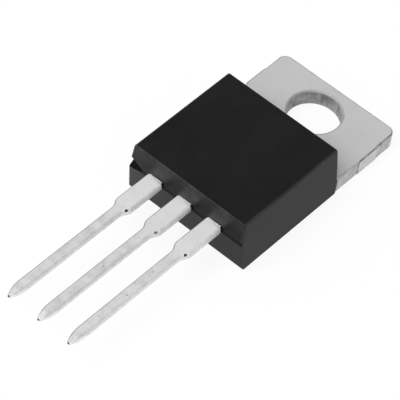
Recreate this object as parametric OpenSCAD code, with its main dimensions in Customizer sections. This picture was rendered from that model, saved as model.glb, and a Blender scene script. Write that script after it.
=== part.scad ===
// Triac in a flat three-lead power package with a screw-down metal tab.
//
// The package lies on its back: the tab's back face is at z = 0, the case's
// flat top looks up, the tab points to +Y and the leads run out towards -Y.
// The origin is the centre of the mounting hole, on the back of the tab.
// All sizes are in millimetres.

/* [Mounting tab] */
// Width of the tab between its sheared sides
tab_width = 9.9; // [9.4:0.1:10.4]
// Thickness of the thick part of the stamped frame
tab_thickness = 1.25; // [1.1:0.05:1.4]
// From the hole's centre to the free end of the tab
tab_end = 2.72; // [2.5:0.01:3.4]
// Radius of the tab's two free corners
tab_corner = 0.6; // [0.2:0.1:1.2]
// Diameter of the mounting hole
hole_diameter = 3.8; // [3.4:0.1:4.2]
// Length of the stub left on each side where the frame's tie bar was cut
tie_stub_length = 1.9; // [1:0.1:2.4]
// How far each tie bar stub stands out of the tab's side
tie_stub_height = 0.05; // [0.02:0.01:0.12]
// From the hole's centre back to the middle of the tie bar stubs
tie_stub_offset = 0.3; // [0:0.1:1]

/* [Die pad inside the case] */
// Width of the pad under the die
pad_width = 8.3; // [7.6:0.1:8.6]
// Length of the pad from the tab's shoulder to its inner end
pad_length = 6.15; // [5.8:0.05:6.4]
// How far the pad's coined underside is set back on three sides
lock_step = 0.3; // [0.15:0.05:0.5]
// Height of the coined step that the resin grips
lock_height = 0.4; // [0.2:0.05:0.6]
// Radius of the two round notches that key the pad into the resin
key_radius = 0.55; // [0.3:0.05:0.7]
// From the tab's shoulder to the centres of the key notches
key_offset = 1.3; // [1:0.1:1.8]
// Depth of the groove across the pad that stops creeping moisture
dam_depth = 0.18; // [0.1:0.02:0.3]
// From the tab's shoulder to the bottom of that groove
dam_offset = 0.75; // [0.6:0.05:0.9]

/* [Bend of the middle lead] */
// Steepest slope of the strip between the pad and the leads, in degrees
bend_angle = 52; // [45:1:60]
// Radius of both bends, at the middle of the strip
bend_radius = 0.6; // [0.4:0.05:0.8]
// Flat length of the strip between the pad and the first bend
bend_start = 0.25; // [0.1:0.05:0.4]

/* [Leads] */
// Distance between the centres of neighbouring leads
lead_pitch = 2.54; // [2.4:0.02:2.7]
// Thickness of the thin part of the stamped frame
lead_thickness = 0.48; // [0.4:0.02:0.6]
// Height of the underside of the leads above the tab's back
lead_height = 2.55; // [2.4:0.05:2.75]
// Width of the long slender part of each lead
lead_width = 0.7; // [0.6:0.02:0.9]
// Width of the lead next to the case
lead_root_width = 1.3; // [1.1:0.02:1.5]
// Length of the wide root, measured from the case
lead_root_length = 3.1; // [2.8:0.1:3.8]
// Length of the taper between the wide root and the slender part
lead_shoulder = 0.5; // [0.3:0.1:1]
// Radius of the mark torn into the +X shoulder where the dambar was cut off
dambar_mark_radius = 0.1; // [0.06:0.02:0.14]
// Depth of that mark below the lead's upper face
dambar_mark_depth = 0.16; // [0.1:0.02:0.24]
// Free length of the leads, from the case to the tip
lead_length = 13.56; // [12.7:0.02:14.7]
// Length of the pointed tip, seen from above
tip_length = 1.26; // [0.6:0.02:1.4]
// Length over which the tip is also coined thinner
tip_coin_length = 0.64; // [0.4:0.02:0.9]
// Width of the blunt end of the tip
tip_width = 0.18; // [0.14:0.02:0.4]
// Thickness of the blunt end of the tip
tip_thickness = 0.2; // [0.12:0.02:0.36]

/* [Bonding ends of the outer leads] */
// Width of the paddle that carries the wires
paddle_width = 2.3; // [1.8:0.1:2.5]
// Length of the paddle
paddle_length = 1.7; // [1.4:0.1:1.9]
// Length of the neck between the end of the case and the paddle
neck_length = 1.05; // [0.8:0.05:1.2]
// How far the paddle is shifted outwards from the lead's centre line
paddle_shift = 0.35; // [0.2:0.05:0.45]
// Radius of the notches that lock the neck into the resin
neck_notch = 0.2; // [0.1:0.02:0.3]

/* [Moulded case] */
// Width of the case at its back
case_width = 10.04; // [9.8:0.02:10.4]
// Width of the case at its top, measured as if its edges were sharp
case_top_width = 9.6; // [9.3:0.05:9.8]
// Height of the case above the tab's back
case_height = 4.35; // [4.2:0.05:4.7]
// From the hole's centre to the rear of the top, as if its edges were sharp
case_top_rear = 3.78; // [3.7:0.01:4.2]
// Length of the top, as if its edges were sharp
case_top_length = 9.42; // [9.2:0.01:9.6]
// How far the parting line at the lead end stands out past the top
front_draft = 0.16; // [0.1:0.01:0.4]
// How far the foot of the lead end is set back from the parting line
foot_setback = 0.41; // [0.2:0.01:0.6]
// Length of the case's sloping rear face, seen from above
rear_draft = 0.29; // [0.2:0.01:0.5]
// Height over which the top edges are rounded
edge_rounding = 0.3; // [0.1:0.02:0.4]
// Radius of the upright corners above the parting line, seen from above
corner_radius = 0.2; // [0.1:0.02:0.4]
// Radius of the two corners at the lead end below the parting line
foot_radius = 0.08; // [0.04:0.02:0.2]
// Distance from the parting line down to the bottom of the trimming groove
groove_drop = 0.14; // [0.1:0.02:0.2]
// Depth of the trimming groove
groove_depth = 0.1; // [0.06:0.02:0.14]
// Distance from the parting line down to the bottom of the gate's scar
scar_drop = 0.16; // [0.1:0.02:0.3]
// Depth of the scar where the moulding's gate was broken off, at the -X side
scar_depth = 0.46; // [0.2:0.02:0.5]
// Length over which the scar runs out
scar_length = 1.5; // [0.8:0.1:1.6]

/* [Die and solder] */
// Side of the square triac die
die_side = 3.6; // [2.8:0.1:4]
// Thickness of the die
die_thickness = 0.28; // [0.2:0.02:0.4]
// Width of the mesa step round the top of the die
mesa_width = 0.2; // [0.1:0.05:0.3]
// Depth of the mesa step
mesa_depth = 0.08; // [0.04:0.01:0.12]
// Thickness of the solder under the die
solder_thickness = 0.05; // [0.03:0.01:0.1]
// How far the solder spreads past the die
solder_margin = 0.12; // [0.05:0.01:0.25]

/* [Bond wires] */
// Diameter of the two power wires
power_wire = 0.38; // [0.2:0.02:0.42]
// Diameter of the gate wire
gate_wire = 0.2; // [0.12:0.02:0.24]
// Height of the wires' highest point above the leads
wire_loop = 0.6; // [0.45:0.05:0.7]
// Length of the flattened foot at each end of a wire
foot_length = 0.7; // [0.5:0.05:0.8]
// Distance between the two power wires
wire_spacing = 0.85; // [0.75:0.05:0.95]
// From the end of the neck to the bonds on a paddle
paddle_bond = 0.75; // [0.6:0.05:0.9]
// From the side of the mesa to the outer power wire's bond
power_bond_inset = 0.5; // [0.4:0.05:0.6]
// From the die's centre to the power wires' bonds, away from the leads
power_bond_offset = 0.35; // [0:0.05:0.6]
// From both sides of the mesa's corner to the gate wire's bond
gate_bond_inset = 0.4; // [0.35:0.05:0.5]

/* [Hidden] */

// Facets of plain round parts, of the case's corners and of the wires
$fn = 96;
corner_fn = 32;
wire_fn = 24;
// Overlap that keeps joined shapes from only touching
eps = 0.01;

// Levels of the leads
lead_middle = lead_height + lead_thickness / 2;
lead_top = lead_height + lead_thickness;

// Moulded case: the parting line's level and the places of its faces along Y
parting_height = lead_middle;
top_rear_y = -case_top_rear;
top_front_y = top_rear_y - case_top_length;
parting_y = top_front_y - front_draft;
foot_y = parting_y + foot_setback;
shoulder_y = top_rear_y + rear_draft;
parting_rear_y = top_rear_y
    + rear_draft * (case_height - parting_height) / (case_height - tab_thickness);

// The trimming groove and the gate's scar are Vs: rise of their upper and of
// their lower face for each millimetre outwards
groove_upper_slope = 1.4;
groove_lower_slope = 2.3;
scar_upper_slope = 1.9;
scar_lower_slope = 1;

// Die pad: its inner end, key notches and moisture groove
pad_end_y = shoulder_y - pad_length;
key_y = shoulder_y - key_offset;
dam_y = shoulder_y - dam_offset;

// Bend of the middle lead, as the path of the strip's middle from the pad
// (upper face level with the pad's) to the level of the leads
bend_low = tab_thickness - lead_thickness / 2;
bend_run = bend_radius * sin(bend_angle);
bend_rise = bend_radius * (1 - cos(bend_angle));
slope_run = (lead_middle - bend_low - 2 * bend_rise) / tan(bend_angle);
bend_start_y = pad_end_y - bend_start;
bend_end_y = bend_start_y - 2 * bend_run - slope_run;
bend_steps = 12;

// Paddles of the outer leads: centre line and the side next to the neck
paddle_x = lead_pitch + paddle_shift;
paddle_y = parting_y + neck_length;

// Die stack, centred between the moisture groove and the pad's inner end
die_y = (dam_y - dam_depth + pad_end_y) / 2;
die_base = tab_thickness + solder_thickness;
die_top = die_base + die_thickness;
mesa_half = die_side / 2 - mesa_width;

// Feet of the wires: width and height as shares of the wire's diameter
foot_spread = 1.3;
foot_squash = 0.6;

// Half width of the drafted case at height z
function case_half(z) = (case_width - (case_width - case_top_width) * z / case_height) / 2;

// Place along Y of the lead end's face at a level drop below the parting line
function lead_face_y(drop) = parting_y + foot_setback * drop / parting_height;

// One lead seen from above, with its root at y = 0 and its tip towards -Y.
// buried is the length of the wide root that stays inside the case.
module lead_outline(buried) {
    shoulder_end = -lead_root_length - lead_shoulder;
    tip_start = -lead_length + tip_length;
    translate([-lead_root_width / 2, -lead_root_length])
        square([lead_root_width, lead_root_length + buried]);
    polygon([
        [-lead_root_width / 2, -lead_root_length],
        [lead_root_width / 2, -lead_root_length],
        [lead_width / 2, shoulder_end],
        [-lead_width / 2, shoulder_end]
    ]);
    translate([-lead_width / 2, tip_start])
        square([lead_width, shoulder_end - tip_start]);
    translate([0, tip_start])
        lead_point();
}

// The pointed end of a lead: two arcs that start in line with the lead's
// sides and stop at the blunt end.
module lead_point() {
    taper = (lead_width - tip_width) / 2;
    arc = (tip_length * tip_length + taper * taper) / (2 * taper);
    intersection() {
        translate([arc - lead_width / 2, 0])
            circle(r = arc);
        translate([lead_width / 2 - arc, 0])
            circle(r = arc);
        translate([-lead_width, -tip_length])
            square([2 * lead_width, tip_length]);
    }
}

// The lead seen from its side, coined thinner towards the tip.
module lead_side(buried) {
    step = (lead_thickness - tip_thickness) / 2;
    coin_start = -lead_length + tip_coin_length;
    polygon([
        [buried, 0],
        [buried, lead_thickness],
        [coin_start, lead_thickness],
        [-lead_length, lead_thickness - step],
        [-lead_length, step],
        [coin_start, 0]
    ]);
}

// What tore out of a lead's +X shoulder where the dambar was cut off.
module dambar_mark() {
    translate([
        (lead_root_width + lead_width) / 4,
        -lead_root_length - lead_shoulder / 2,
        lead_thickness - dambar_mark_depth
    ])
        cylinder(h = dambar_mark_depth + eps, r = dambar_mark_radius, $fn = corner_fn);
}

// A straight lead with its lower face at z = 0 and its root at y = 0.
module straight_lead(buried) {
    difference() {
        intersection() {
            linear_extrude(lead_thickness)
                lead_outline(buried);
            translate([-lead_root_width, 0, 0])
                rotate([90, 0, 90])
                    linear_extrude(2 * lead_root_width)
                        lead_side(buried);
        }
        dambar_mark();
    }
}

// One face of the strip that rises from the pad to the level of the leads, as
// points in the YZ plane. up is the face's height above the strip's middle.
function strip_face(up) = concat(
    [[pad_end_y + eps, bend_low + up]],
    [for (step = [0:bend_steps])
        let (turn = bend_angle * step / bend_steps)
            [bend_start_y - (bend_radius - up) * sin(turn),
                bend_low + bend_radius - (bend_radius - up) * cos(turn)]],
    [for (step = [0:bend_steps])
        let (turn = bend_angle * (1 - step / bend_steps))
            [bend_end_y + (bend_radius + up) * sin(turn),
                lead_middle - bend_radius + (bend_radius + up) * cos(turn)]],
    [[parting_y, lead_middle + up]]
);

// The side view of the bent strip: its upper face, and its lower face read back.
module strip_section() {
    upper = strip_face(lead_thickness / 2);
    lower = strip_face(-lead_thickness / 2);
    polygon(concat(upper, [for (i = [len(lower) - 1:-1:0]) lower[i]]));
}

// The bent strip between the pad and the middle lead.
module bent_strip() {
    translate([-lead_root_width / 2, 0, 0])
        rotate([90, 0, 90])
            linear_extrude(lead_root_width)
                strip_section();
}

// The tab with its rounded corners and the stubs of the cut tie bar.
module tab_outline() {
    half = tab_width / 2;
    translate([-half, shoulder_y])
        square([tab_width, tab_end - tab_corner - shoulder_y]);
    translate([tab_corner - half, tab_end - tab_corner - eps])
        square([tab_width - 2 * tab_corner, tab_corner + eps]);
    for (side = [-1, 1])
        translate([side * (half - tab_corner), tab_end - tab_corner])
            circle(r = tab_corner);
    translate([-half - tie_stub_height, -tie_stub_offset - tie_stub_length / 2])
        square([tab_width + 2 * tie_stub_height, tie_stub_length]);
}

// The pad seen from above, with its key notches. inset sets its inner end,
// sides and notches back; the end at the tab's shoulder stays.
module pad_outline(inset) {
    difference() {
        translate([-pad_width / 2 + inset, pad_end_y + inset])
            square([pad_width - 2 * inset, pad_length + eps - inset]);
        for (side = [-1, 1])
            translate([side * pad_width / 2, key_y])
                circle(r = key_radius + inset);
    }
}

// What coining takes off round the underside of the pad.
module lock_cut() {
    translate([0, 0, -eps])
        linear_extrude(lock_height + eps)
            difference() {
                translate([-pad_width, pad_end_y - lock_step])
                    square([2 * pad_width, pad_length + lock_step]);
                pad_outline(lock_step);
            }
}

// The V groove pressed across the top of the pad.
module moisture_dam() {
    mouth = dam_depth + eps;
    translate([-pad_width, dam_y, tab_thickness])
        rotate([90, 0, 90])
            linear_extrude(2 * pad_width)
                polygon([[-mouth, eps], [mouth, eps], [0, -dam_depth]]);
}

// The pad under the die, with its locking step and moisture groove.
module die_pad() {
    difference() {
        linear_extrude(tab_thickness)
            pad_outline(0);
        lock_cut();
        moisture_dam();
    }
}

// Tab, die pad and middle lead, stamped and bent from one strip that is thick
// at the tab and thin at the leads.
module header_and_mt2_lead() {
    color("silver")
        difference() {
            union() {
                linear_extrude(tab_thickness)
                    tab_outline();
                die_pad();
                bent_strip();
                translate([0, parting_y, lead_height])
                    straight_lead(eps);
            }
            translate([0, 0, -eps])
                cylinder(h = tab_thickness + 2 * eps, d = hole_diameter);
        }
}

// An outer lead with the paddle that carries its bond wires. side is -1 for
// the lead at -X and 1 for the lead at +X.
module outer_lead(side) {
    color("gainsboro")
        difference() {
            union() {
                translate([side * lead_pitch, parting_y, lead_height])
                    straight_lead(neck_length + eps);
                translate([side * paddle_x - paddle_width / 2, paddle_y, lead_height])
                    cube([paddle_width, paddle_length, lead_thickness]);
            }
            for (edge = [-1, 1])
                translate([
                    side * lead_pitch + edge * lead_root_width / 2,
                    parting_y + neck_length / 2,
                    lead_height - eps
                ])
                    cylinder(h = lead_thickness + 2 * eps, r = neck_notch);
        }
}

module mt1_lead() {
    outer_lead(-1);
}

module gate_lead() {
    outer_lead(1);
}

// The silicon die, with the stepped edge of its passivated mesa.
module triac_die() {
    color("slategray")
        translate([0, die_y, die_base]) {
            translate([-die_side / 2, -die_side / 2, 0])
                cube([die_side, die_side, die_thickness - mesa_depth]);
            translate([-mesa_half, -mesa_half, 0])
                cube([2 * mesa_half, 2 * mesa_half, die_thickness]);
        }
}

module die_attach_solder() {
    side = die_side + 2 * solder_margin;
    color("lightgray")
        translate([-side / 2, die_y - side / 2, tab_thickness])
            cube([side, side, solder_thickness]);
}

// A wire bonded at from on a paddle and at to on the die: one arc that peaks
// at wire_loop above the leads, and a flattened foot at each end.
module bond_wire(from, to, diameter) {
    run = norm(to - from);
    rise = wire_loop - diameter / 2;
    fall = rise + lead_top - die_top;
    rise_run = peak_place(run, rise, fall);
    radius = (rise_run * rise_run + rise * rise) / (2 * rise);
    rise_angle = asin(rise_run / radius);
    fall_angle = asin((run - rise_run) / radius);
    color("whitesmoke")
        translate([from[0], from[1], 0])
            rotate(atan2(to[1] - from[1], to[0] - from[0])) {
                translate([rise_run, 0, lead_top + wire_loop - radius])
                    rotate([90, 0, 0])
                        rotate(90 - fall_angle)
                            rotate_extrude(angle = rise_angle + fall_angle)
                                translate([radius, 0])
                                    circle(d = diameter, $fn = wire_fn);
                wire_foot(0, lead_top, diameter);
                wire_foot(run, die_top, diameter);
            }
}

// Where along a wire its highest point lies, for an arc that climbs rise from
// one end and drops fall to the other.
function peak_place(run, rise, fall) =
    let (extra = fall - rise)
        (sqrt(pow(rise * run, 2) + extra * rise * (run * run + fall * extra))
            - rise * run) / extra;

// The flattened end of a wire, centred at x along the wire on the level z.
module wire_foot(x, z, diameter) {
    translate([x - foot_length / 2, -foot_spread * diameter / 2, z])
        cube([foot_length, foot_spread * diameter, foot_squash * diameter]);
}

// The power wire with the given shift from the middle of the pair.
module mt1_bond_wire(shift) {
    die_x = power_bond_inset + wire_spacing / 2 - mesa_half;
    bond_wire([shift - paddle_x, paddle_y + paddle_bond],
        [shift + die_x, die_y + power_bond_offset], power_wire);
}

module mt1_bond_wire_outer() {
    mt1_bond_wire(-wire_spacing / 2);
}

module mt1_bond_wire_inner() {
    mt1_bond_wire(wire_spacing / 2);
}

module gate_bond_wire() {
    corner = mesa_half - gate_bond_inset;
    bond_wire([paddle_x, paddle_y + paddle_bond], [corner, die_y - corner], gate_wire);
}

// A rounded upper corner of the case. x and y are the corner's faces, and dx
// and dy say on which side of it the case lies.
module case_dome(x, y, dx, dy) {
    translate([x + dx * corner_radius, y + dy * corner_radius, case_height - edge_rounding])
        rotate_extrude($fn = corner_fn)
            scale([corner_radius, edge_rounding])
                intersection() {
                    circle(r = 1, $fn = corner_fn);
                    square(1);
                }
}

// A thin disc that rounds an upright corner of the case at height z, with x,
// y, dx and dy as above.
module case_disc(x, y, z, dx, dy, radius) {
    translate([x + dx * radius, y + dy * radius, z])
        cylinder(h = eps, r = radius, $fn = corner_fn);
}

// The part of the moulding above the parting line, with rounded edges.
module upper_block() {
    hull()
        for (side = [-1, 1]) {
            top_x = side * case_half(case_height);
            parting_x = side * case_half(parting_height);
            case_dome(top_x, top_rear_y, -side, -1);
            case_dome(top_x, top_front_y, -side, 1);
            case_disc(parting_x, parting_rear_y, parting_height, -side, -1, corner_radius);
            case_disc(parting_x, parting_y, parting_height, -side, 1, corner_radius);
        }
}

// The part below the parting line. Its corners at the lead end are sharper,
// so they stand out as two small ledges. Below the level of the tab's top its rear
// face is upright.
module lower_block() {
    hull()
        for (side = [-1, 1]) {
            parting_x = side * case_half(parting_height);
            tab_x = side * case_half(tab_thickness);
            foot_x = side * case_half(0);
            case_disc(parting_x, parting_rear_y, parting_height, -side, -1, corner_radius);
            case_disc(tab_x, shoulder_y, tab_thickness, -side, -1, corner_radius);
            case_disc(foot_x, shoulder_y, 0, -side, -1, corner_radius);
            case_disc(parting_x, parting_y, parting_height, -side, 1, foot_radius);
            case_disc(foot_x, foot_y, 0, -side, 1, foot_radius);
        }
}

// A V-shaped cutter along X, with its bottom at the origin and open to -Y.
module v_cutter(reach, upper_slope, lower_slope) {
    rotate([90, 0, 90])
        linear_extrude(2 * case_width, center = true)
            polygon([
                [0, 0],
                [-reach, reach * upper_slope],
                [-reach, -reach * lower_slope]
            ]);
}

// The shallow groove that trimming the lead frame leaves under the parting line.
module trimming_groove() {
    bottom_y = lead_face_y(groove_drop) + groove_depth;
    translate([0, bottom_y, parting_height - groove_drop])
        v_cutter(2 * groove_depth, groove_upper_slope, groove_lower_slope);
}

// The scar of the broken gate: a V that leaves the face at scar_length from
// the -X side and gets deeper towards that side.
module gate_scar() {
    end_x = scar_length - case_half(parting_height);
    translate([end_x, lead_face_y(scar_drop), parting_height - scar_drop])
        rotate(-atan(scar_depth / scar_length))
            v_cutter(2 * scar_depth, scar_upper_slope, scar_lower_slope);
}

// The moulded resin, with hollows that match the metal and silicon inside.
module moulded_case() {
    color("#2a2a2c")
        difference() {
            union() {
                upper_block();
                lower_block();
            }
            trimming_groove();
            gate_scar();
            header_and_mt2_lead();
            mt1_lead();
            gate_lead();
            triac_die();
            die_attach_solder();
            mt1_bond_wire_outer();
            mt1_bond_wire_inner();
            gate_bond_wire();
        }
}

moulded_case();
header_and_mt2_lead();
mt1_lead();
gate_lead();
triac_die();
die_attach_solder();
mt1_bond_wire_outer();
mt1_bond_wire_inner();
gate_bond_wire();
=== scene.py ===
"""Dresses a triac in a flat three-lead power package for its portrait.

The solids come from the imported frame: a moulded case, a stamped copper header
whose strip is also the middle lead, two outer leads, and the die, solder and
wires inside. The case and the metal are copied from those solids, given the
rolled, sheared and moulded edges that the real processes leave, and finished.
Lengths are in metres in the frame's own axes: the tab's back is at z = 0, the
tab points to +Y, the leads run to -Y, and the hole's centre is the origin.
"""

import logging
import math
from collections.abc import Callable
from dataclasses import dataclass, field
from enum import Enum, IntEnum

import bmesh
import bpy
from mathutils import Matrix, Vector


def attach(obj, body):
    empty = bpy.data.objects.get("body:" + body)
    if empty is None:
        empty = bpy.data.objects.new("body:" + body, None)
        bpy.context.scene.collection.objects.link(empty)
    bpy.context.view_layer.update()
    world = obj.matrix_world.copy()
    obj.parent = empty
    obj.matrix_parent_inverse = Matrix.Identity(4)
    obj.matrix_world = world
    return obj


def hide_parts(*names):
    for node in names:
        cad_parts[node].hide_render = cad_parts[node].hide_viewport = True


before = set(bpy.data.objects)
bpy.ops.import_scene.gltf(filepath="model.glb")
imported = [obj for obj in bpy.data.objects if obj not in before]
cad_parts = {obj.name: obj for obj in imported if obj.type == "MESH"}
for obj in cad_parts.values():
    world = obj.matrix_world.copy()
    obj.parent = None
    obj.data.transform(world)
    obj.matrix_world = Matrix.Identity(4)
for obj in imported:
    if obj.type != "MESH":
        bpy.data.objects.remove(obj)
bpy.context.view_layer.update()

LOG = logging.getLogger("triac")
MM = 0.001
BODY = "root"
RELIEF_STRENGTH = 0.5


class Slot(Enum):
    """The record's material slots. Nothing in this script uses them."""

    CASE = "moulding_compound"
    HEADER = "plated_copper"
    LEAD = "tinned_lead"


class CaseFace(IntEnum):
    """The kinds of face on the case, in the order of its finishes."""

    TOP = 0
    WALL = 1
    BROKEN = 2
    LEAD_END = 3
    CORNER = 4
    SIDE_EDGE = 5


class LeadFace(IntEnum):
    """The kinds of face on a lead, in the order of its finishes."""

    PLATED = 0
    WALL = 1
    TORN = 2
    RIM = 3
    # The lead's walls in the gap beside the case, painted dark as shade.
    BLED = 4
    TIP = 5


class TabFace(IntEnum):
    """The kinds of face on the tab and the pad, in the order of their finishes."""

    PLATED = 0
    WALL = 1
    BORE = 2
    RIM = 3
    TIE_END = 4
    LIP = 5


def linear(colour: str) -> tuple[float, float, float, float]:
    """Turns an sRGB hex colour into linear light.

    Args:
        colour: Six hex digits after a hash sign.

    Returns:
        Red, green, blue and an alpha of 1.
    """
    parts = [int(colour[i:i + 2], 16) / 255 for i in (1, 3, 5)]
    red, green, blue = (
        part / 12.92 if part <= 0.04045 else ((part + 0.055) / 1.055) ** 2.4
        for part in parts
    )
    return red, green, blue, 1.0


def per_metre(size_mm: float) -> float:
    """Returns the pattern scale that gives features of this size in millimetres."""
    return 1 / (size_mm * MM)


def add_node(
    tree: bpy.types.NodeTree,
    kind: str,
    settings: dict[str | int, object] | None = None,
    sources: dict[str | int, bpy.types.NodeSocket] | None = None,
) -> bpy.types.Node:
    """Adds one node with its settings and links.

    Args:
        tree: The node tree that the node joins.
        kind: The node's type name.
        settings: Node properties and input values, by name or input number.
        sources: The sockets that feed the node's inputs, by name or number.

    Returns:
        The new node.
    """
    node = tree.nodes.new(kind)
    for name, value in (settings or {}).items():
        if isinstance(name, str) and name in node.bl_rna.properties:
            setattr(node, name, value)
        else:
            node.inputs[name].default_value = value
    for name, socket in (sources or {}).items():
        tree.links.new(socket, node.inputs[name])
    return node


def new_material(name: str) -> tuple[bpy.types.Material, bpy.types.NodeTree]:
    """Makes an empty node material.

    Args:
        name: The material's name.

    Returns:
        The material and its node tree, without nodes.
    """
    material = bpy.data.materials.new(name)
    material.use_nodes = True
    material.node_tree.nodes.clear()
    return material, material.node_tree


def noise(
    tree: bpy.types.NodeTree, place: bpy.types.NodeSocket, size_mm: float, detail: float
) -> bpy.types.NodeSocket:
    """Adds a cloudy pattern.

    Args:
        tree: The node tree.
        place: The coordinates that the pattern follows.
        size_mm: The size of its clouds in millimetres.
        detail: How many finer layers it has.

    Returns:
        The pattern, from 0 to 1.
    """
    return add_node(
        tree, "ShaderNodeTexNoise",
        {"Scale": per_metre(size_mm), "Detail": detail, "Roughness": 0.6},
        {"Vector": place},
    ).outputs["Fac"]


def stretch(
    tree: bpy.types.NodeTree,
    value: bpy.types.NodeSocket,
    before: tuple[float, float],
    after: tuple[float, float] = (0.0, 1.0),
) -> bpy.types.NodeSocket:
    """Stretches a value from one range to another and clips it there.

    Args:
        tree: The node tree.
        value: The value.
        before: The range that is kept.
        after: What its two ends become.

    Returns:
        The stretched value.
    """
    settings = {
        "From Min": before[0], "From Max": before[1],
        "To Min": after[0], "To Max": after[1],
    }
    return add_node(tree, "ShaderNodeMapRange", settings, {"Value": value}).outputs["Result"]


def join(
    tree: bpy.types.NodeTree,
    operation: str,
    first: bpy.types.NodeSocket,
    second: bpy.types.NodeSocket | float = 0.0,
) -> bpy.types.NodeSocket:
    """Joins two values by one operation of the math node.

    Args:
        tree: The node tree.
        operation: The math node's operation.
        first: The first value.
        second: The second value, as a socket or a number, where one is used.

    Returns:
        The result.
    """
    if isinstance(second, bpy.types.NodeSocket):
        node = add_node(
            tree, "ShaderNodeMath", {"operation": operation}, {0: first, 1: second}
        )
    else:
        node = add_node(
            tree, "ShaderNodeMath", {"operation": operation, 1: second}, {0: first}
        )
    return node.outputs[0]


def blend(
    tree: bpy.types.NodeTree,
    share: bpy.types.NodeSocket,
    first: str | bpy.types.NodeSocket,
    second: str,
) -> bpy.types.NodeSocket:
    """Mixes two colours.

    Args:
        tree: The node tree.
        share: How much of the second colour shows, from 0 to 1.
        first: The colour at 0, as sRGB hex digits or a socket.
        second: The colour at 1, as sRGB hex digits.

    Returns:
        The mixed colour.
    """
    settings = {"data_type": "RGBA", 7: linear(second)}
    sources = {0: share}
    if isinstance(first, str):
        settings[6] = linear(first)
    else:
        sources[6] = first
    return add_node(tree, "ShaderNodeMix", settings, sources).outputs[2]


def finish_material(
    tree: bpy.types.NodeTree,
    settings: dict[str | int, object],
    sources: dict[str | int, bpy.types.NodeSocket],
    height: bpy.types.NodeSocket,
    depth_mm: float,
) -> None:
    """Adds the relief, the shader and the output of a finish.

    Args:
        tree: The node tree.
        settings: The shader's even values.
        sources: What feeds its other inputs.
        height: The relief's pattern.
        depth_mm: The relief's depth in millimetres.
    """
    bump = add_node(
        tree, "ShaderNodeBump", {"Strength": RELIEF_STRENGTH, "Distance": depth_mm * MM},
        {"Height": height},
    )
    shader = add_node(
        tree, "ShaderNodeBsdfPrincipled", settings,
        sources | {"Normal": bump.outputs["Normal"]},
    )
    add_node(tree, "ShaderNodeOutputMaterial", None, {"Surface": shader.outputs[0]})


@dataclass(frozen=True)
class MouldedEpoxy:
    """Black silica-filled epoxy, transfer moulded against spark-eroded steel.

    It gives the eye a dark neutral grey with a fine even grain, no clear mirror image, and a
    soft glow of reflected light where it is seen at a shallow angle.
    """

    name: str
    resin: str
    dust: str
    roughness: float
    gloss: float
    grain_mm: float = 0.16
    grain_depth_mm: float = 0.004
    flow_mm: float = 3.0
    dusty: tuple[float, float] = (0.15, 0.4)
    wear: float = 0.05

    def build(self) -> bpy.types.Material:
        """Makes the epoxy's grain over faint flow marks.

        Returns:
            The material.
        """
        material, tree = new_material(self.name)
        place = add_node(tree, "ShaderNodeTexCoord").outputs["Object"]
        flow = noise(tree, place, self.flow_mm, 3.0)
        # The real grit is about 0.02 mm; it is drawn coarser, so that it shows.
        grain = noise(tree, place, self.grain_mm, 4.0)
        mixed = join(tree, "MULTIPLY", flow, grain)
        sources = {
            "Base Color": blend(tree, stretch(tree, mixed, self.dusty), self.resin, self.dust),
            "Roughness": stretch(
                tree, flow, (0.0, 1.0), (self.roughness - self.wear, self.roughness + self.wear)
            ),
        }
        finish_material(
            tree, {"Specular IOR Level": self.gloss}, sources, grain, self.grain_depth_mm
        )
        return material


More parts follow.
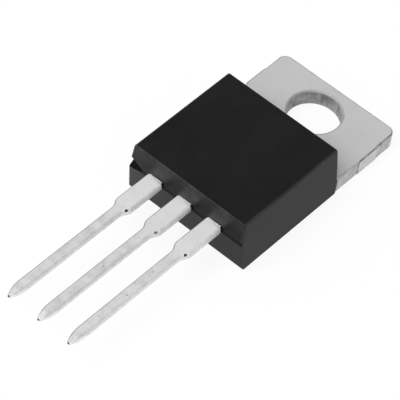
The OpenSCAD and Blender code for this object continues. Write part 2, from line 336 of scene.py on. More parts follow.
@dataclass(frozen=True)
class EpoxyWithPaintedReflections:
    """The same epoxy on the face at the lead end, with painted reflections on it.

    It gives the eye the moulded grain under a pale painted reflection. The reflection is
    strongest over each lead, where the leads are reflected. It is fainter under the top edge and
    at the -X end, where brighter surroundings are reflected. Its gloss falls towards +X, in
    place of the shade that the leads cast on that end. Lengths are in millimetres, and a span is
    the pair of places between which the painted reflection or the gloss changes.
    """

    name: str = "black_epoxy_lead_end_painted_reflections"
    resin: str = "#131313"
    # The pale colour of the painted reflections.
    painted_reflection: str = "#464646"
    roughness: float = 0.45
    # The gloss falls from -X to +X, in place of the shade that the leads cast on the +X end.
    gloss: tuple[float, float] = (0.2, 0.13)
    gloss_span: tuple[float, float] = (-4.0, 4.0)
    grain_mm: float = 0.16
    grain_depth_mm: float = 0.004
    cloud_mm: float = 0.7
    cloud_strength: tuple[float, float] = (0.55, 1.35)
    pitch: float = 2.54
    lead_top: float = 3.03
    lead_half: float = 0.65
    lean: float = 0.5
    softness: float = 0.16
    start_span: tuple[float, float] = (-0.1, 0.1)
    fade_span: tuple[float, float] = (0.45, 1.15)
    faded: float = 0.35
    # Shares of the painted reflection: over each lead, under the top edge and at the -X end.
    lead_reflection_share: float = 0.62
    edge_span: tuple[float, float] = (3.5, 4.3)
    edge_reflection_share: float = 0.24
    end_span: tuple[float, float] = (-3.0, -4.6)
    end_reflection_share: float = 0.2

    def lead_reflections(
        self,
        tree: bpy.types.NodeTree,
        across: bpy.types.NodeSocket,
        height: bpy.types.NodeSocket,
    ) -> bpy.types.NodeSocket:
        """Works out the painted reflection of the nearest lead on the face above it.

        Args:
            tree: The node tree.
            across: The place along X in millimetres.
            height: The height in millimetres.

        Returns:
            The strength, from 0 to 1.
        """
        rise = join(tree, "SUBTRACT", height, self.lead_top)
        leaned = join(tree, "SUBTRACT", across, join(tree, "MULTIPLY", rise, self.lean))
        steps = join(tree, "ROUND", join(tree, "DIVIDE", leaned, self.pitch))
        lead = join(tree, "MAXIMUM", join(tree, "MINIMUM", steps, 1.0), -1.0)
        middle = join(tree, "MULTIPLY", lead, self.pitch)
        away = join(tree, "ABSOLUTE", join(tree, "SUBTRACT", leaned, middle))
        beside = stretch(
            tree, away,
            (self.lead_half + self.softness, self.lead_half - self.softness),
        )
        fade = stretch(tree, rise, self.fade_span, (1.0, self.faded))
        begun = stretch(tree, rise, self.start_span)
        return join(tree, "MULTIPLY", join(tree, "MULTIPLY", beside, fade), begun)

    def build(self) -> bpy.types.Material:
        """Makes the epoxy's grain under the painted reflections.

        Returns:
            The material.
        """
        material, tree = new_material(self.name)
        place = add_node(tree, "ShaderNodeTexCoord").outputs["Object"]
        axes = add_node(tree, "ShaderNodeSeparateXYZ", None, {0: place})
        across = join(tree, "DIVIDE", axes.outputs["X"], MM)
        height = join(tree, "DIVIDE", axes.outputs["Z"], MM)
        grain = noise(tree, place, self.grain_mm, 4.0)
        cloud = stretch(
            tree, noise(tree, place, self.cloud_mm, 4.0), (0.3, 0.7), self.cloud_strength
        )
        # Painted reflection: the leads' share, the top edge's share and the -X end's share,
        # broken up by the clouds.
        leads = join(
            tree, "MULTIPLY", self.lead_reflections(tree, across, height), self.lead_reflection_share
        )
        edge = stretch(tree, height, self.edge_span, (0.0, self.edge_reflection_share))
        end = stretch(tree, across, self.end_span, (0.0, self.end_reflection_share))
        painted_reflection = join(tree, "ADD", join(tree, "ADD", leads, edge), end)
        reflection_haze = join(tree, "MULTIPLY", painted_reflection, cloud)
        sources = {
            "Base Color": blend(tree, reflection_haze, self.resin, self.painted_reflection),
            "Specular IOR Level": stretch(tree, across, self.gloss_span, self.gloss),
        }
        finish_material(
            tree, {"Roughness": self.roughness}, sources, grain, self.grain_depth_mm
        )
        return material


@dataclass(frozen=True)
class BrokenEpoxyWithPaintedShade:
    """The same epoxy where it was broken off: the gate's scar and the groove.

    It gives the eye a dull and crumbly surface with specks of filler. Its resin is darker than
    the moulded faces, as painted shade: in the groove under the parting line, and on the leads'
    walls in the gap beside the case.
    """

    name: str = "black_epoxy_broken_face_painted_shade"
    # A darker resin than the moulded faces: painted shade in the groove and in the gaps beside
    # the leads.
    resin: str = "#050505"
    filler: str = "#1c1c1c"
    gloss: float = 0.1
    roughness: float = 0.8
    crumb_mm: float = 0.12
    crumb_depth_mm: float = 0.03
    specks: tuple[float, float] = (0.5, 0.75)

    def build(self) -> bpy.types.Material:
        """Makes the broken epoxy's coarse crumbs.

        Returns:
            The material.
        """
        material, tree = new_material(self.name)
        place = add_node(tree, "ShaderNodeTexCoord").outputs["Object"]
        crumb = noise(tree, place, self.crumb_mm, 5.0)
        speck = stretch(tree, crumb, self.specks)
        finish_material(
            tree, {"Specular IOR Level": self.gloss, "Roughness": self.roughness},
            {"Base Color": blend(tree, speck, self.resin, self.filler)},
            crumb, self.crumb_depth_mm,
        )
        return material


@dataclass(frozen=True)
class TinPlate:
    """Matte tin, electroplated on copper.

    It gives the eye a pale neutral grey that spreads light widely, with faint
    clouds where the plating is thicker and small stains where flux or fingers
    were.
    """

    name: str
    tin: str
    stain: str
    metallic: float
    roughness: float
    cloud_mm: float
    stain_mm: float
    stain_start: float
    stain_fade: float = 0.2
    clouded: tuple[float, float] = (0.4, 0.8)
    cloud_strength: float = 0.5
    grain_mm: float = 0.12
    grain_depth_mm: float = 0.003
    wear: float = 0.06

    def stains(
        self,
        tree: bpy.types.NodeTree,
        place: bpy.types.NodeSocket,
        cloud: bpy.types.NodeSocket,
    ) -> bpy.types.NodeSocket:
        """Works out where the tin is stained or clouded.

        Args:
            tree: The node tree.
            place: The place on the piece.
            cloud: The pattern of the clouds.

        Returns:
            The share of the stain's colour, from 0 to 1.
        """
        blot = noise(tree, place, self.stain_mm, 5.0)
        return join(
            tree, "MAXIMUM",
            stretch(tree, blot, (self.stain_start, self.stain_start + self.stain_fade)),
            stretch(tree, cloud, self.clouded, (0.0, self.cloud_strength)),
        )

    def colour(
        self,
        tree: bpy.types.NodeTree,
        place: bpy.types.NodeSocket,
        stained: bpy.types.NodeSocket,
    ) -> bpy.types.NodeSocket:
        """Works out the colour of the plate.

        Args:
            tree: The node tree.
            place: The place on the piece.
            stained: The share of the stain's colour.

        Returns:
            The colour.
        """
        return blend(tree, stained, self.tin, self.stain)

    def build(self) -> bpy.types.Material:
        """Makes the tin's clouds, stains and crystal grain.

        Returns:
            The material.
        """
        material, tree = new_material(self.name)
        place = add_node(tree, "ShaderNodeTexCoord").outputs["Object"]
        cloud = noise(tree, place, self.cloud_mm, 4.0)
        # The real crystals are a few thousandths of a millimetre; they are
        # drawn coarser, so that they show.
        grain = noise(tree, place, self.grain_mm, 3.0)
        sources = {
            "Base Color": self.colour(tree, place, self.stains(tree, place, cloud)),
            "Roughness": stretch(
                tree, cloud, (0.0, 1.0), (self.roughness - self.wear, self.roughness + self.wear)
            ),
        }
        finish_material(
            tree, {"Metallic": self.metallic}, sources, grain, self.grain_depth_mm
        )
        return material


@dataclass(frozen=True)
class HandledTin(TinPlate):
    """The same tin on a lead, handled since.

    It gives the eye a paler plate beside the case, between the two levels of
    painted_light_by_case_y, which is painted light against the shade that the case casts on the
    lead there, and, between those of handled_y, the mottled and pitted look of a lead that was
    gripped and bent straight.
    Lengths are in millimetres.
    """

    # A paler tin beside the case: painted light against the case's shade on the lead.
    painted_light_by_case: str = "#f4f4f4"
    painted_light_by_case_y: tuple[float, float] = (-14.9, -13.4)
    handled_y: tuple[float, float] = (-16.4, -17.4)
    mottle_mm: float = 0.8
    mottled: tuple[float, float] = (0.3, 0.68)
    pit: str = "#9c9c9c"
    pit_mm: float = 0.28
    pitted: tuple[float, float] = (0.7, 0.8)

    def along(
        self,
        tree: bpy.types.NodeTree,
        place: bpy.types.NodeSocket,
        span: tuple[float, float],
    ) -> bpy.types.NodeSocket:
        """Works out how far a place has come along a span of the lead.

        Args:
            tree: The node tree.
            place: The place on the piece.
            span: The span's two ends along Y.

        Returns:
            The share, from 0 at the span's first end to 1 at its second.
        """
        level = add_node(tree, "ShaderNodeSeparateXYZ", None, {0: place}).outputs["Y"]
        return stretch(tree, level, (span[0] * MM, span[1] * MM))

    def stains(
        self,
        tree: bpy.types.NodeTree,
        place: bpy.types.NodeSocket,
        cloud: bpy.types.NodeSocket,
    ) -> bpy.types.NodeSocket:
        """Works out where the tin is stained, clouded or mottled by handling.

        Args:
            tree: The node tree.
            place: The place on the piece.
            cloud: The pattern of the clouds.

        Returns:
            The share of the stain's colour, from 0 to 1.
        """
        mottle = stretch(tree, noise(tree, place, self.mottle_mm, 6.0), self.mottled)
        handled = join(
            tree, "MULTIPLY", self.along(tree, place, self.handled_y), mottle
        )
        return join(tree, "MAXIMUM", super().stains(tree, place, cloud), handled)

    def colour(
        self,
        tree: bpy.types.NodeTree,
        place: bpy.types.NodeSocket,
        stained: bpy.types.NodeSocket,
    ) -> bpy.types.NodeSocket:
        """Works out the colour of the plate, its pits and the painted light by the case.

        Args:
            tree: The node tree.
            place: The place on the piece.
            stained: The share of the stain's colour.

        Returns:
            The colour.
        """
        pits = join(
            tree, "MULTIPLY", self.along(tree, place, self.handled_y),
            stretch(tree, noise(tree, place, self.pit_mm, 1.0), self.pitted),
        )
        pitted = blend(tree, pits, super().colour(tree, place, stained), self.pit)
        # Painted light: the plate turns paler towards the case.
        return blend(tree, self.along(tree, place, self.painted_light_by_case_y), pitted, self.painted_light_by_case)


@dataclass(frozen=True)
class ShearedEdge:
    """A stamped copper edge, cut before or after plating and smeared with tin.

    It gives the eye upright scratches and a grey duller than the plated faces.
    """

    name: str
    bright: str
    dull: str
    metallic: float = 0.6
    roughness: float = 0.55
    scratch_mm: float = 0.05
    scratch_depth_mm: float = 0.006
    upright: float = 0.12
    smear_mm: float = 0.5
    contrast: tuple[float, float] = (0.12, 0.4)

    def build(self) -> bpy.types.Material:
        """Makes the edge's upright scratches and smears.

        Returns:
            The material.
        """
        material, tree = new_material(self.name)
        place = add_node(tree, "ShaderNodeTexCoord").outputs["Object"]
        drawn_out = add_node(
            tree, "ShaderNodeMapping", {"Scale": (1.0, 1.0, self.upright)}, {"Vector": place}
        ).outputs["Vector"]
        scratch = noise(tree, drawn_out, self.scratch_mm, 4.0)
        smear = noise(tree, place, self.smear_mm, 3.0)
        worn = stretch(tree, join(tree, "MULTIPLY", scratch, smear), self.contrast)
        finish_material(
            tree, {"Metallic": self.metallic, "Roughness": self.roughness},
            {"Base Color": blend(tree, worn, self.bright, self.dull)},
            scratch, self.scratch_depth_mm,
        )
        return material


@dataclass(frozen=True)
class MottledFinish:
    """Diced silicon, soft solder, drawn aluminium or torn copper.

    It gives the eye a fine mottled grain, dark on silicon, bright on metal.
    """

    name: str
    pale: str
    dark: str
    metallic: float
    roughness: float
    grain_mm: float = 0.1
    grain_depth_mm: float = 0.002

    def build(self) -> bpy.types.Material:
        """Makes the one mottled grain.

        Returns:
            The material.
        """
        material, tree = new_material(self.name)
        place = add_node(tree, "ShaderNodeTexCoord").outputs["Object"]
        grain = noise(tree, place, self.grain_mm, 4.0)
        finish_material(
            tree, {"Metallic": self.metallic, "Roughness": self.roughness},
            {"Base Color": blend(tree, grain, self.dark, self.pale)},
            grain, self.grain_depth_mm,
        )
        return material


Finish = MouldedEpoxy | EpoxyWithPaintedReflections | BrokenEpoxyWithPaintedShade | TinPlate | ShearedEdge | MottledFinish


def material_of(finish: Finish) -> bpy.types.Material:
    """Returns a finish's material, built the first time that it is asked for."""
    return bpy.data.materials.get(finish.name) or finish.build()


@dataclass(frozen=True)
class EdgeWork:
    """One kind of worked edge: its width in millimetres, steps and finish."""

    width: float
    steps: int
    finish: int | None = None


EdgeRule = Callable[[Vector, bmesh.types.BMEdge], EdgeWork | None]

# Distances in metres within which corners are merged and a cut meets a corner.
MERGED_WITHIN = 2e-7
CUT_WITHIN = 1e-7
# Angles between the two faces at an edge: below the first they are one face,
# from the second the edge may be worked, from the third it is shaded sharp.
COPLANAR = math.radians(0.5)
WORKED_FROM = math.radians(24)
SHARP_FROM = math.radians(35)
# A face of this area or more stays truly flat: its rim is shaded sharp as well.
FLAT_FROM_MM2 = 0.8
RIM_FROM = math.radians(1)
# The component of a unit normal from which a face looks that way.
FACING = 0.5


def merged_copy(node: str) -> bmesh.types.BMesh:
    """Copies a node's loose triangles into one closed mesh of whole faces.

    Args:
        node: The CAD node's name.

    Returns:
        The merged mesh, in metres.
    """
    bm = bmesh.new()
    bm.from_mesh(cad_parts[node].data)
    bmesh.ops.remove_doubles(bm, verts=bm.verts, dist=MERGED_WITHIN)
    bmesh.ops.dissolve_limit(bm, angle_limit=COPLANAR, verts=bm.verts, edges=bm.edges)
    return bm


def work_edges(
    bm: bmesh.types.BMesh, rule: EdgeRule, kinds: tuple[EdgeWork, ...]
) -> None:
    """Rolls, shears or eases the sharp edges, one kind of edge after another.

    Args:
        bm: The mesh, whose faces already have their finishes.
        rule: Returns the kind of an edge from its middle in millimetres and
            the edge itself, or None where it stays as it is.
        kinds: The kinds of edge, in the order in which they are made.
    """
    worked = bm.faces.layers.int.new("worked")
    for kind in kinds:
        edges = []
        for edge in bm.edges:
            if not edge.is_manifold or edge.calc_face_angle() < WORKED_FROM:
                continue
            if any(face[worked] for face in edge.link_faces):
                continue
            if rule((edge.verts[0].co + edge.verts[1].co) / (2 * MM), edge) is kind:
                edges.append(edge)
        result = bmesh.ops.bevel(
            bm, geom=edges, offset=kind.width * MM, offset_type="OFFSET",
            segments=kind.steps, profile=0.5, affect="EDGES", material=-1,
            clamp_overlap=False,
        )
        for face in result["faces"]:
            face[worked] = 1
            if kind.finish is not None:
                face.material_index = kind.finish


def mark_sharp(bm: bmesh.types.BMesh) -> None:
    """Shades the mesh smooth, but for sharp edges and the rims of large faces.

    Args:
        bm: The mesh.
    """
    for face in bm.faces:
        face.smooth = True
    for edge in bm.edges:
        largest = max(face.calc_area() for face in edge.link_faces) / MM ** 2
        angle = edge.calc_face_angle(0.0)
        edge.smooth = angle < SHARP_FROM and (largest < FLAT_FROM_MM2 or angle < RIM_FROM)


def finish_piece(
    bm: bmesh.types.BMesh,
    name: str,
    node: str,
    finishes: tuple[Finish, ...],
) -> bpy.types.Object:
    """Makes a piece that stands for a CAD node and rides where the node rides.

    Args:
        bm: The finished mesh, which is used up.
        name: The piece's name.
        node: The CAD node that it replaces.
        finishes: Its finishes, in the order of the faces' numbers.

    Returns:
        The piece.
    """
    mark_sharp(bm)
    mesh = bpy.data.meshes.new(name)
    bm.to_mesh(mesh)
    bm.free()
    for finish in finishes:
        mesh.materials.append(material_of(finish))
    piece = bpy.data.objects.new(name, mesh)
    bpy.context.scene.collection.objects.link(piece)
    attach(piece, BODY)
    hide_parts(node)
    LOG.info("%s: %d faces", name, len(mesh.polygons))
    return piece


@dataclass
class Case:
    """The moulded resin case. Sizes are in millimetres.

    The values from level_front to rounded_out are components of unit normals,
    which tell the kinds of face apart.
    """

    foot: EdgeWork = EdgeWork(0.04, 3)
    foot_level: float = 0.02
    front: float = -13.2
    parting: float = 2.79
    groove_half: float = 0.85
    level_front: float = 0.995
    level_sides: float = 0.95
    slanted_up: float = 0.4
    slanted_out: float = 0.3
    leaning: float = 0.12
    facing_front: float = -0.25
    rounded_out: float = 0.2
    finishes: tuple[Finish, ...] = (
        MouldedEpoxy(
            "black_epoxy_smooth_mould_face", "#131313", "#1b1b1b", roughness=0.42, gloss=0.14
        ),
        MouldedEpoxy(
            "black_epoxy_eroded_mould_wall", "#131313", "#1b1b1b", roughness=0.45, gloss=0.14
        ),
        # The groove's faces: crumbly epoxy, darker as painted shade.
        BrokenEpoxyWithPaintedShade(),
        EpoxyWithPaintedReflections(),
        # A paler epoxy on the upright corners at the lead end: a painted highlight.
        MouldedEpoxy(
            "black_epoxy_corner_painted_highlight", "#232323", "#2d2d2d", roughness=0.45, gloss=0.16
        ),
        # A paler epoxy on the rounded edges along the top's sides: painted light.
        MouldedEpoxy(
            "black_epoxy_side_edge_painted_light", "#2b2b2b", "#373737", roughness=0.45, gloss=0.15
        ),
    )

    def work_of(self, middle: Vector, edge: bmesh.types.BMEdge) -> EdgeWork | None:
        """Returns the kind of one of the case's edges.

        Args:
            middle: The edge's middle, in millimetres.
            edge: The edge, not used.

        Returns:
            The eased foot, or None for an edge that the mould left sharp.
        """
        return self.foot if middle.z < self.foot_level else None

    def kind_of(self, face: bmesh.types.BMFace) -> CaseFace:
        """Returns the kind of one of the case's faces.

        Args:
            face: The face.

        Returns:
            The kind. The rounded edges along the top's sides and the two upright corners at the
            lead end count as kinds of their own, whose paler finishes are painted light and a
            painted highlight.
        """
        normal = face.normal
        sideways = abs(normal.x) > abs(normal.y)
        if normal.z > (self.level_sides if sideways else self.level_front):
            return CaseFace.TOP
        near_parting = abs(face.calc_center_median().z / MM - self.parting) < self.groove_half
        ahead = min(vert.co.y for vert in face.verts) / MM < self.front
        slanted = abs(normal.z) > self.slanted_up and abs(normal.y) > self.slanted_out
        if near_parting and ahead and slanted:
            return CaseFace.BROKEN
        if normal.z > self.leaning and sideways:
            return CaseFace.SIDE_EDGE
        if normal.y > self.facing_front:
            return CaseFace.WALL
        rounded = abs(normal.x) > self.rounded_out and abs(normal.z) < self.slanted_up
        return CaseFace.CORNER if rounded else CaseFace.LEAD_END

    def build(self) -> bpy.types.Object:
        """Builds the case with its mould finishes and its broken faces.

        Returns:
            The case.
        """
        bm = merged_copy("moulded_case")
        for face in bm.faces:
            face.material_index = self.kind_of(face)
        work_edges(bm, self.work_of, (self.foot,))
        return finish_piece(
            bm, "moulded_epoxy_case", "moulded_case", self.finishes
        )


@dataclass
class LeadShape:
    """How stamping, cutting and plating leave a lead. Sizes are in millimetres.

    first is the place of the lead's first finish in its piece's list. The
    corners beside the case have two radii, on the -X and on the +X side. An
    edge counts as upright from the height upright_from.
    """

    first: int = 0
    case_front: float = -13.2
    root_end: float = -16.4
    tip_start: float = -26.6
    middle_level: float = 2.79
    middle_half: float = 0.1
    top_level: float = 3.03
    top_skin: float = 0.01
    pitch: float = 2.54
    mark_radius: float = 0.115
    mark_offset: float = 0.5
    mark_y: float = -16.71
    mark_level: float = 2.85
    upright_from: float = 0.3
    shoulder_radius: float = 0.2
    shoulder_steps: int = 4
    shoulder_turn: float = math.radians(15)
    shoulder_span: tuple[float, float] = (-17.3, -16.2)
    corner_front: float = -13.34
    corner_back: float = -13.1
    corner_radii: tuple[float, float] = (0.1, 0.2)
    corner_steps: int = 6
    return_length: float = 0.05
    tip_wall: float = -25.7
    tip_side: float = 0.1
    blunt_end: float = -0.95
    roll: EdgeWork = field(init=False)
    under_roll: EdgeWork = field(init=False)
    soft: EdgeWork = field(init=False)
    rim: EdgeWork = field(init=False)
    burr: EdgeWork = field(init=False)
    finishes: tuple[Finish, ...] = (
        HandledTin(
            "bright_matte_tin_lead", "#e4e4e4", "#c8c8c8", metallic=0.3, roughness=0.5,
            cloud_mm=2.5, stain_mm=0.35, stain_start=0.58,
        ),
        ShearedEdge("sheared_tinned_lead_edge", "#f2f2f2", "#d6d6d6", metallic=0.2),
        # Torn copper in the dambar's notch and on the blunt ends, drawn darker in the notch as
        # painted shade.
        MottledFinish(
            "torn_copper_dambar_mark_painted_shade", "#5a5a5a", "#242424", metallic=0.4, roughness=0.7
        ),
        # A dark rim along each lead's -X top edge: painted shade, for the shaded floor that this
        # edge reflects.
        ShearedEdge("tinned_lead_rim_painted_shade", "#8c8c8c", "#5a5a5a"),
        # Dark epoxy on the walls in the gap beside the case: painted shade.
        BrokenEpoxyWithPaintedShade(),
        # A paler tin on the +X walls of the tips: a painted highlight.
        ShearedEdge("lead_tip_painted_highlight", "#f8f8f8", "#dedede", metallic=0.5, roughness=0.4),
    )

    def __post_init__(self) -> None:
        """Sets the kinds of edge, whose finishes count from first."""
        self.roll = EdgeWork(0.22, 6, self.first + LeadFace.WALL)
        self.under_roll = EdgeWork(0.05, 3, self.first + LeadFace.WALL)
        self.soft = EdgeWork(0.12, 4, self.first + LeadFace.PLATED)
        self.rim = EdgeWork(0.06, 3, self.first + LeadFace.RIM)
        self.burr = EdgeWork(0.04, 3, self.first + LeadFace.WALL)

    @property
    def works(self) -> tuple[EdgeWork, ...]:
        """Returns the kinds of edge, in the order in which they are made."""
        return self.roll, self.under_roll, self.soft, self.rim, self.burr

    @property
    def inner_end(self) -> float:
        """Returns where the lead has its full width again inside the case."""
        return self.corner_back + self.return_length

    def off_centre(self, x: float) -> float:
        """Returns how far a place is from the nearest lead's centre line."""
        return x - self.pitch * max(-1, min(1, round(x / self.pitch)))

    def ease_root(self, bm: bmesh.types.BMesh) -> None:
        """Draws the lead in beside the case, which leaves rounded corners.

        Args:
            bm: The mesh that holds the lead.
        """
        largest = max(self.corner_radii)
        turns = [math.pi / 2 * step / self.corner_steps for step in range(self.corner_steps + 1)]
        levels = [self.corner_front - largest * (1 - math.sin(turn)) for turn in turns]
        for level in (*levels, self.corner_back, self.inner_end):
            bmesh.ops.bisect_plane(
                bm, geom=bm.verts[:] + bm.edges[:] + bm.faces[:], dist=CUT_WITHIN,
                plane_co=(0, level * MM, 0), plane_no=(0, 1, 0),
            )
        for vert in bm.verts:
            level = vert.co.y / MM
            if not levels[0] < level < self.corner_back + self.return_length / 2:
                continue
            across = self.off_centre(vert.co.x / MM)
            radius = self.corner_radii[across > 0]
            left = min(max(self.corner_front - level, 0.0), radius)
            inset = radius - math.sqrt(radius ** 2 - (radius - left) ** 2)
            vert.co.x -= math.copysign(inset * MM, across)

    def round_shoulders(self, bm: bmesh.types.BMesh) -> None:
        """Rounds the upright edges where the lead steps to its slender part.

        Args:
            bm: The mesh that holds the lead.
        """
        begin, end = self.shoulder_span
        edges = []
        for edge in bm.edges:
            if not edge.is_manifold or edge.calc_face_angle() < self.shoulder_turn:
                continue
            run = edge.verts[0].co - edge.verts[1].co
            upright = abs(run.normalized().z) > FACING and abs(run.z) > self.upright_from * MM
            if upright and begin < edge.verts[0].co.y / MM < end:
                edges.append(edge)
        bmesh.ops.bevel(
            bm, geom=edges, offset=self.shoulder_radius * MM, offset_type="OFFSET",
            segments=self.shoulder_steps, profile=0.5, affect="EDGES", material=-1,
            clamp_overlap=True,
        )

    def in_mark(self, point: Vector) -> bool:
        """Says if a point lies in the mark that cutting the dambar left."""
        across = self.off_centre(point.x) - self.mark_offset
        return math.hypot(across, point.y - self.mark_y) < self.mark_radius

    def work_of(self, middle: Vector, edge: bmesh.types.BMEdge) -> EdgeWork | None:
        """Returns the kind of one of a lead's edges.

        Args:
            middle: The edge's middle, in millimetres.
            edge: The edge, not used.

        Returns:
            The kind of edge, or None where it stays sharp.
        """
        if middle.y > self.corner_front or middle.y < self.tip_start:
            return None
        if self.in_mark(middle) or abs(middle.z - self.middle_level) < self.middle_half:
            return None
        upper = middle.z > self.middle_level
        if self.off_centre(middle.x) > 0 and middle.y > self.root_end:
            return self.roll if upper else self.under_roll
        if not upper:
            return self.burr
        return self.soft if self.off_centre(middle.x) > 0 else self.rim

    def kind_of(self, face: bmesh.types.BMFace) -> LeadFace:
        """Returns the kind of one of a lead's faces.

        Args:
            face: The face.

        Returns:
            The kind. The blunt end counts as torn, and the walls that are drawn in inside the
            case take the dark broken epoxy, as painted shade in the gap beside the case.
        """
        middle = face.calc_center_median() / MM
        if middle.z < self.top_level - self.top_skin and all(
            self.in_mark(vert.co / MM) and vert.co.z / MM > self.mark_level
            for vert in face.verts
        ):
            return LeadFace.TORN
        if abs(face.normal.z) > FACING:
            return LeadFace.PLATED
        # The walls in the gap beside the case are painted dark, as shade.
        if self.corner_front < middle.y < self.inner_end:
            return LeadFace.BLED
        if face.normal.y < self.blunt_end:
            return LeadFace.TORN
        # The +X walls of the tips take a painted highlight.
        painted_highlight = middle.y < self.tip_wall and face.normal.x > self.tip_side
        return LeadFace.TIP if painted_highlight else LeadFace.WALL


@dataclass
class Header:
    """The stamped tab, the pad and the middle lead. Sizes are in millimetres."""

    tab_thickness: float = 1.25
    half_width: float = 4.95
    tab_start: float = -3.5
    stub_start: float = -1.25
    hole_radius: float = 1.9
    wall_margin: float = 0.1
    side_margin: float = 0.02
    side_roll: EdgeWork = EdgeWork(0.18, 6, TabFace.WALL)
    hole_roll: EdgeWork = EdgeWork(0.14, 6, TabFace.LIP)
    rim: EdgeWork = EdgeWork(0.1, 3, TabFace.RIM)
    burr: EdgeWork = EdgeWork(0.03, 3)
    finishes: tuple[Finish, ...] = (
        TinPlate(
            "matte_tin_on_copper_tab", "#cdcdcd", "#c2c2c2", metallic=0.3, roughness=0.5,
            cloud_mm=1.6, stain_mm=0.45, stain_start=0.58,
        ),
        ShearedEdge("sheared_copper_tab_edge", "#d0d0d0", "#989898"),
        ShearedEdge(
            "punched_copper_hole_wall", "#b0b0b0", "#585858",
            scratch_mm=0.3, smear_mm=0.9, contrast=(0.12, 0.42),
        ),
        # A dark rim along the tab's top edges and the stubs' ends: painted shade, the shadow
        # line along the edge.
        ShearedEdge(
            "copper_tab_rim_painted_shade", "#c0c0c0", "#626262",
            smear_mm=0.8, contrast=(0.14, 0.34),
        ),
        ShearedEdge("cut_tie_bar_end", "#dedede", "#b8b8b8"),
        # A darker tin on the hole's lip: painted shade that dulls the highlight which the lamps
        # leave there.
        ShearedEdge("hole_lip_painted_shade", "#bcbcbc", "#9e9e9e", metallic=0.3),
    )
    lead: LeadShape = field(init=False)

    def __post_init__(self) -> None:
        """Gives the middle lead its place in the header's list of finishes."""
        self.lead = LeadShape(first=len(self.finishes))

    def work_of(self, middle: Vector, edge: bmesh.types.BMEdge) -> EdgeWork | None:
        """Returns the kind of one of the header's edges.

        Args:
            middle: The edge's middle, in millimetres.
            edge: The edge.

        Returns:
            The kind of edge, or None where it stays sharp.
        """
        if middle.y < self.lead.case_front:
            return self.lead.work_of(middle, edge)
        if middle.y < self.tab_start:
            return None
        if self.wall_margin < middle.z < self.tab_thickness - self.wall_margin:
            return None
        if middle.z < self.tab_thickness / 2:
            return self.burr
        if middle.xy.length < self.hole_radius + self.wall_margin:
            return self.hole_roll
        on_side = abs(middle.x - self.half_width) < self.side_margin
        return self.side_roll if on_side and middle.y < self.stub_start else self.rim

    def finish_number(self, face: bmesh.types.BMFace) -> int:
        """Returns the place of a face's finish in the header's list.

        Args:
            face: The face.

        Returns:
            A TabFace on the tab and the pad. The lead's kinds come after those.
        """
        middle = face.calc_center_median() / MM
        if middle.y < self.lead.inner_end:
            return self.lead.first + self.lead.kind_of(face)
        if abs(face.normal.z) > FACING:
            return TabFace.PLATED
        if middle.xy.length < self.hole_radius + self.wall_margin:
            return TabFace.BORE
        if abs(middle.x) < self.half_width + self.side_margin / 2:
            return TabFace.WALL
        return TabFace.TIE_END if abs(face.normal.x) > FACING else TabFace.RIM

    def build(self) -> bpy.types.Object:
        """Builds the header with its rolled and sheared edges.

        Returns:
            The header.
        """
        bm = merged_copy("header_and_mt2_lead")
        self.lead.ease_root(bm)
        self.lead.round_shoulders(bm)
        for face in bm.faces:
            face.material_index = self.finish_number(face)
        works = (self.side_roll, self.hole_roll, self.rim, self.burr)
        work_edges(bm, self.work_of, works + self.lead.works)
        return finish_piece(
            bm, "stamped_header_and_middle_lead", "header_and_mt2_lead",
            self.finishes + self.lead.finishes,
        )


@dataclass
class OuterLead:
    """One of the two outer leads."""

    node: str
    name: str
    shape: LeadShape = field(default_factory=LeadShape)

    def build(self) -> bpy.types.Object:
        """Builds the lead with its rolled and sheared edges.

        Returns:
            The lead.
        """
        bm = merged_copy(self.node)
        self.shape.ease_root(bm)
        self.shape.round_shoulders(bm)
        for face in bm.faces:
            face.material_index = self.shape.kind_of(face)
        work_edges(bm, self.shape.work_of, self.shape.works)
        return finish_piece(bm, self.name, self.node, self.shape.finishes)


@dataclass
class InnerParts:
    """The die, its solder and the wires, sealed inside the case."""

    silicon: MottledFinish = MottledFinish(
        "passivated_silicon_die", "#5f5f5f", "#3d3d3d", metallic=0.0, roughness=0.3
    )
    solder: MottledFinish = MottledFinish(
        "reflowed_soft_solder", "#b9b9b9", "#8f8f8f", metallic=1.0, roughness=0.45
    )
    wire: MottledFinish = MottledFinish(
        "drawn_aluminium_bond_wire", "#d8d8d8", "#b4b4b4", metallic=1.0, roughness=0.3
    )

    def dress(self) -> None:
        """Gives the inner nodes their materials."""
        wires = ("mt1_bond_wire_outer", "mt1_bond_wire_inner", "gate_bond_wire")
        finishes = {"triac_die": self.silicon, "die_attach_solder": self.solder}
        finishes |= dict.fromkeys(wires, self.wire)
        for node, finish in finishes.items():
            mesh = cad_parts[node].data
            for place in range(len(mesh.materials)):
                mesh.materials[place] = material_of(finish)
            LOG.info("%s: dressed in %s", node, finish.name)


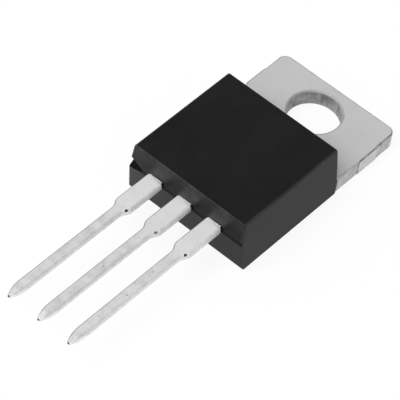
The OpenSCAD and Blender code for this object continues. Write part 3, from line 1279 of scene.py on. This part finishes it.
@dataclass
class Portrait:
    """The camera's place and lens. Angles in degrees, lengths in millimetres."""

    azimuth: float = 35.4713
    elevation: float = 49.4017
    roll: float = 8.0916
    target: tuple[float, float, float] = (-0.1031, -11.5824, 1.5)
    distance: float = 174.0133
    sensor: float = 36.0
    lens: float = 241.09
    clip_metres: tuple[float, float] = (0.01, 20.0)

    def build(self) -> bpy.types.Object:
        """Places the camera and makes it the scene's own.

        Returns:
            The camera.
        """
        azimuth, elevation, roll = map(
            math.radians, (self.azimuth, self.elevation, self.roll)
        )
        forward = Vector((
            -math.sin(azimuth) * math.cos(elevation),
            math.cos(azimuth) * math.cos(elevation),
            -math.sin(elevation),
        ))
        right = forward.cross(Vector((0, 0, 1))).normalized()
        up = right.cross(forward)
        right, up = (
            right * math.cos(roll) + up * math.sin(roll),
            up * math.cos(roll) - right * math.sin(roll),
        )
        data = bpy.data.cameras.new("portrait_camera")
        data.sensor_fit = "HORIZONTAL"
        data.sensor_width = self.sensor
        data.lens = self.lens
        data.clip_start, data.clip_end = self.clip_metres
        camera = bpy.data.objects.new("portrait_camera", data)
        turn = Matrix((right, up, -forward)).transposed()
        place = (Vector(self.target) - forward * self.distance) * MM
        camera.matrix_world = Matrix.Translation(place) @ turn.to_4x4()
        bpy.context.scene.collection.objects.link(camera)
        bpy.context.scene.camera = camera
        return camera


@dataclass(frozen=True)
class Softbox:
    """A square soft lamp that looks at the object from a direction in degrees.

    Its size, its distance and the place that it aims at are in metres.
    """

    name: str
    azimuth: float
    elevation: float
    size: float
    radiance: float
    distance: float = 0.6
    aim: tuple[float, float, float] = (0.0, -0.0115, 0.0)

    def build(self) -> bpy.types.Object:
        """Hangs the lamp.

        Returns:
            The lamp.
        """
        azimuth, elevation = math.radians(self.azimuth), math.radians(self.elevation)
        back = Vector((
            math.sin(azimuth) * math.cos(elevation),
            -math.cos(azimuth) * math.cos(elevation),
            math.sin(elevation),
        ))
        data = bpy.data.lights.new(self.name, "AREA")
        data.shape = "SQUARE"
        data.size = self.size
        data.energy = self.radiance * math.pi * self.size ** 2
        lamp = bpy.data.objects.new(self.name, data)
        turn = back.to_track_quat("Z", "Y").to_matrix().to_4x4()
        lamp.matrix_world = Matrix.Translation(Vector(self.aim) + back * self.distance) @ turn
        bpy.context.scene.collection.objects.link(lamp)
        return lamp


@dataclass
class Studio:
    """The pale floor, the soft sky and the lamps.

    The floor's level is in millimetres and half its width in metres. The sky
    is given by its brightness at the horizon, halfway up and overhead.
    """

    floor_level: float = -0.02
    floor_half: float = 1.5
    floor_colour: str = "#fdfdfd"
    floor_glow: float = 0.88
    horizon: float = 0.8
    halfway: float = 0.45
    zenith: float = 0.45
    lamps: tuple[Softbox, ...] = (
        Softbox("key_softbox", azimuth=-10, elevation=62, size=0.42, radiance=4.4),
        Softbox("left_softbox", azimuth=-38, elevation=24, size=0.34, radiance=1.6),
    )

    def build_floor(self) -> bpy.types.Object:
        """Lays the floor, pale to the camera and in mirrors, with a soft shadow.

        Returns:
            The floor.
        """
        bm = bmesh.new()
        bmesh.ops.create_grid(bm, x_segments=4, y_segments=4, size=self.floor_half)
        bmesh.ops.translate(bm, verts=bm.verts, vec=(0, 0, self.floor_level * MM))
        mesh = bpy.data.meshes.new("studio_floor")
        bm.to_mesh(mesh)
        bm.free()
        material, tree = new_material("matte_white_paper")
        paper = add_node(
            tree, "ShaderNodeBsdfDiffuse", {"Color": linear(self.floor_colour)}
        )
        glow = add_node(tree, "ShaderNodeEmission", {"Color": (1, 1, 1, 1), "Strength": 1.0})
        rays = add_node(tree, "ShaderNodeLightPath")
        mirrored = join(
            tree, "MAXIMUM",
            rays.outputs["Is Glossy Ray"], rays.outputs["Is Transmission Ray"],
        )
        seen = join(tree, "MAXIMUM", rays.outputs["Is Camera Ray"], mirrored)
        mixed = add_node(
            tree, "ShaderNodeMixShader", None,
            {
                0: join(tree, "MULTIPLY", seen, self.floor_glow),
                1: paper.outputs[0], 2: glow.outputs[0],
            },
        )
        add_node(tree, "ShaderNodeOutputMaterial", None, {"Surface": mixed.outputs[0]})
        mesh.materials.append(material)
        floor = bpy.data.objects.new("studio_floor", mesh)
        bpy.context.scene.collection.objects.link(floor)
        return floor

    def build_sky(self) -> bpy.types.World:
        """Makes the sky, bright at the horizon and dimmer overhead.

        Returns:
            The sky.
        """
        world = bpy.data.worlds.new("soft_studio_sky")
        world.use_nodes = True
        tree = world.node_tree
        tree.nodes.clear()
        direction = add_node(tree, "ShaderNodeTexCoord").outputs["Generated"]
        height = add_node(tree, "ShaderNodeSeparateXYZ", None, {0: direction}).outputs["Z"]
        ramp = add_node(tree, "ShaderNodeValToRGB", None, {0: height})
        ramp.color_ramp.elements[0].position = 0.0
        ramp.color_ramp.elements[0].color = (self.horizon,) * 3 + (1,)
        ramp.color_ramp.elements[1].position = 1.0
        ramp.color_ramp.elements[1].color = (self.zenith,) * 3 + (1,)
        middle = ramp.color_ramp.elements.new(0.5)
        middle.color = (self.halfway,) * 3 + (1,)
        sky = add_node(tree, "ShaderNodeBackground", None, {"Color": ramp.outputs["Color"]})
        add_node(tree, "ShaderNodeOutputWorld", None, {"Surface": sky.outputs[0]})
        bpy.context.scene.world = world
        return world

    def build(self) -> None:
        """Builds the floor, the sky and the lamps."""
        self.build_floor()
        self.build_sky()
        for lamp in self.lamps:
            lamp.build()
        bpy.context.scene.view_settings.view_transform = "Standard"


def main() -> None:
    """Builds the portrait, then each piece in order."""
    logging.basicConfig(level=logging.INFO, format="%(name)s: %(message)s")
    Portrait().build()
    Studio().build()
    Case().build()
    Header().build()
    OuterLead("mt1_lead", "tinned_lead_mt1").build()
    OuterLead("gate_lead", "tinned_lead_gate").build()
    InnerParts().dress()


if __name__ == "__main__":
    main()
